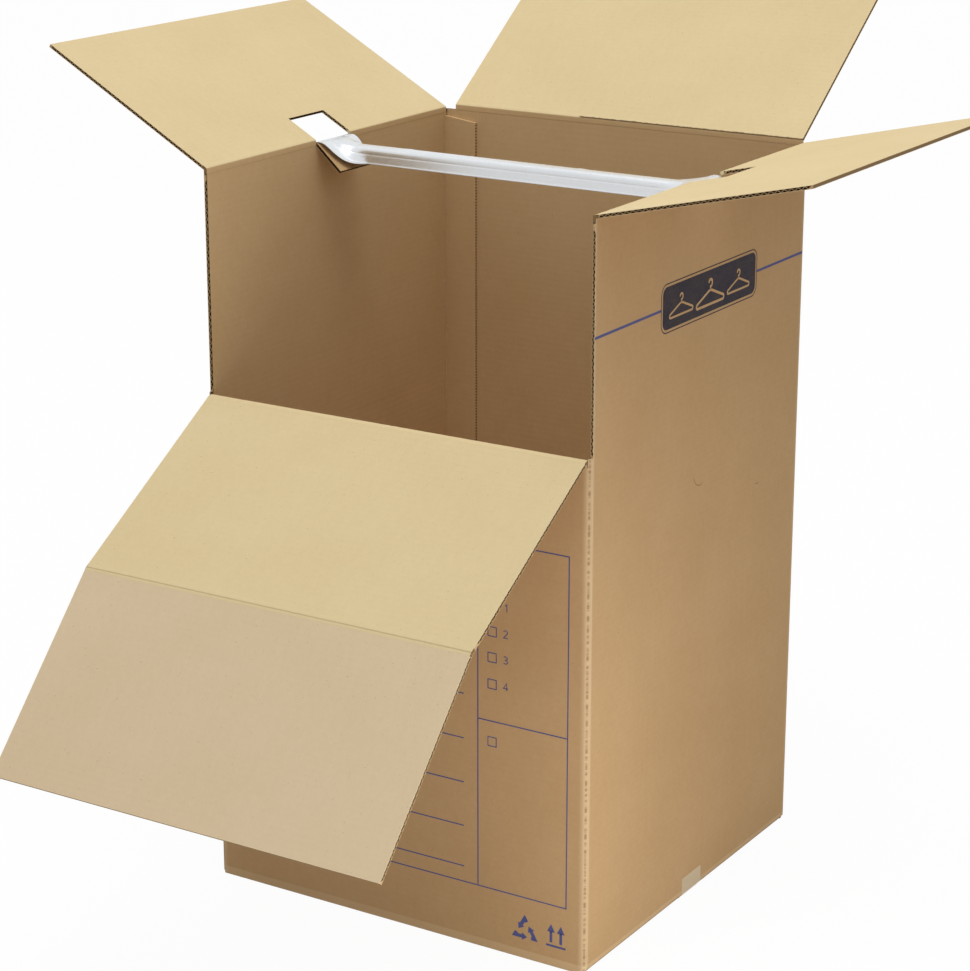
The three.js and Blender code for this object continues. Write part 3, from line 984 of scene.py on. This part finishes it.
# A coat hanger: a low triangle with rounded ends, and a hook that is most of a circle
def hangerShapes(x, y, size):
    leftEnd = arc((-31, -9), 2.6, 115, 260, 6)
    rightEnd = arc((31, -9), 2.6, -80, 65, 6)
    body = [(0, 5), (-3, 4.4)] + leftEnd + rightEnd + [(3, 4.4), (0, 5)]
    hook = [(0, 5)] + arc((0, 13.2), 4.2, -90, 175, 10)
    return [strokeShape([(x + a * size, y + b * size) for a, b in path], 3.0 * size) for path in (body, hook)]


# A side wall's print: the stripe on both sides of the badge, the badge with its outline, and its hangers
def sideShapes(look):
    x, y, halfWide, halfHigh, radius = look["badge"]
    stripes = [(-252, x - halfWide - 3), (x + halfWide + 3, 252)]
    blue = [strokeShape([(start, y), (end, y)], look["stripe"]) for start, end in stripes]
    dark = [filledShape(roundedBar(x, y, halfWide, halfHigh, radius))]
    dark.append(strokeShape(roundedBar(x, y, halfWide + 3.4, halfHigh + 3.4, radius + 3, close=True), 1.3))
    bare = []
    for place, size in ((-70, 0.82), (0, 1.0), (70, 0.82)):
        bare += hangerShapes(x + place, y - 4 * size, size)
    return blue, dark, bare


# All print on the box, and the two scratches on the right wall
def makePrints():
    blue = inkMaterial("blue_ink", linear(44, 70, 138), 0.12)
    dark = inkMaterial("dark_ink", linear(28, 24, 38), 0.02)
    bare = inkMaterial("unprinted", boardLook["outer"], 0.5)
    rub = inkMaterial("rubbed_board", linear(128, 96, 60), 0.25)
    look = printLook
    makePrint("form_print", formShapes(look), "front", look["ink"], blue)
    handling = chasingArrows(178.5, 36.5, 15.5, 4.6) + upArrows(220, 25, 54)
    makePrint("handling_print", handling, "front", look["ink"], blue)
    stripes, badge, hangers = sideShapes(look)
    for wall in ("right", "left"):
        makePrint(wall + "_stripe", stripes, wall, look["ink"], blue)
        makePrint(wall + "_badge", badge, wall, look["ink"], dark)
        makePrint(wall + "_hangers", hangers, wall, look["over"], bare)
    scuffs = [
        strokeShape([(-18, 531), (-14.5, 524.5), (-8, 520), (0, 518.6), (4, 521)], 1.1),
        strokeShape([(143, 483), (148, 481.4), (152, 481.8)], 0.8),
    ]
    makePrint("scuff_marks", scuffs, "right", look["ink"], rub)


makePrints()
print("print made")


# Floor, backdrop and light

lightSettings = {
    "skyLow": 0.22,
    "skyHigh": 0.78,
    "floorWhite": 0.60,
    "floorGlow": 0.93,
    "keyPower": 105,
    "keySize": 2.4,
    "keyPlace": (0.3, -0.9, 5.6),
    "keyAim": (0.0, 0.0, 0.6),
    "fillPower": 6.8,
    "fillSize": 0.5,
    "fillPlace": (0.92, -0.72, 0.06),
    "fillAim": (0.2, -0.2, 0.0),
}


# 1 for rays that show the ground itself or its mirror image, and 0 for rays that only carry light
def lightPathSeen(start):
    first = start.node("ShaderNodeLightPath")
    outputs = first.socket.node.outputs
    kinds = ("Is Camera Ray", "Is Glossy Ray", "Is Transmission Ray")
    camera, glossy, through = (Signal(first.tree, outputs[kind]) for kind in kinds)
    return camera.most(glossy).most(through)


# White ground without end: rays that see it find white, and the light it gives grows with height
def makeStage(settings):
    world = bpy.data.worlds.new("studio")
    scene.world = world
    world.use_nodes = True
    tree = world.node_tree
    background = next(node for node in tree.nodes if node.type == "BACKGROUND")
    background.inputs["Color"].default_value = (1, 1, 1, 1)
    start = Signal(tree, None)
    seen = lightPathSeen(start)
    apart = start.node("ShaderNodeSeparateXYZ", {0: start.node("ShaderNodeTexCoord")}, output=2)
    sky = apart.step(0.15, 0.85) * (settings["skyHigh"] - settings["skyLow"]) + settings["skyLow"]
    tree.links.new(seen.blend(sky, 1.0).socket, background.inputs["Strength"])

    material = bpy.data.materials.new("white_floor")
    material.use_nodes = True
    tree = material.node_tree
    shader = next(node for node in tree.nodes if node.type == "BSDF_PRINCIPLED")
    output = next(node for node in tree.nodes if node.type == "OUTPUT_MATERIAL")
    white = settings["floorWhite"]
    shader.inputs["Base Color"].default_value = (white, white, white, 1)
    shader.inputs["Roughness"].default_value = 0.9
    shader.inputs["Specular IOR Level"].default_value = 0.1
    start = Signal(tree, None)
    glow = start.node("ShaderNodeEmission", {"Color": (1, 1, 1, 1), "Strength": 1.03})
    surface = Signal(tree, shader.outputs[0])
    share = lightPathSeen(start) * settings["floorGlow"]
    mixed = start.node("ShaderNodeMixShader", {0: share, 1: surface, 2: glow})
    tree.links.new(mixed.socket, output.inputs["Surface"])

    mesh = bpy.data.meshes.new("floor")
    reach = 60.0
    low = -0.0006
    corners = [(-reach, -reach, low), (reach, -reach, low), (reach, reach, low), (-reach, reach, low)]
    mesh.from_pydata(corners, [], [(0, 1, 2, 3)])
    floor = bpy.data.objects.new("floor", mesh)
    floor.data.materials.append(material)
    scene.collection.objects.link(floor)


# A square lamp that looks at its aim and isn't seen itself
def makeLight(settings, name):
    data = bpy.data.lights.new(name, "AREA")
    data.shape = "SQUARE"
    data.size = settings[name + "Size"]
    data.energy = settings[name + "Power"]
    lamp = bpy.data.objects.new(name, data)
    lamp.location = settings[name + "Place"]
    aim = Vector(settings[name + "Aim"]) - Vector(settings[name + "Place"])
    lamp.rotation_mode = "QUATERNION"
    lamp.rotation_quaternion = aim.to_track_quat("-Z", "Y")
    lamp.visible_camera = False
    scene.collection.objects.link(lamp)


makeStage(lightSettings)
makeLight(lightSettings, "key")
makeLight(lightSettings, "fill")
print("stage made")
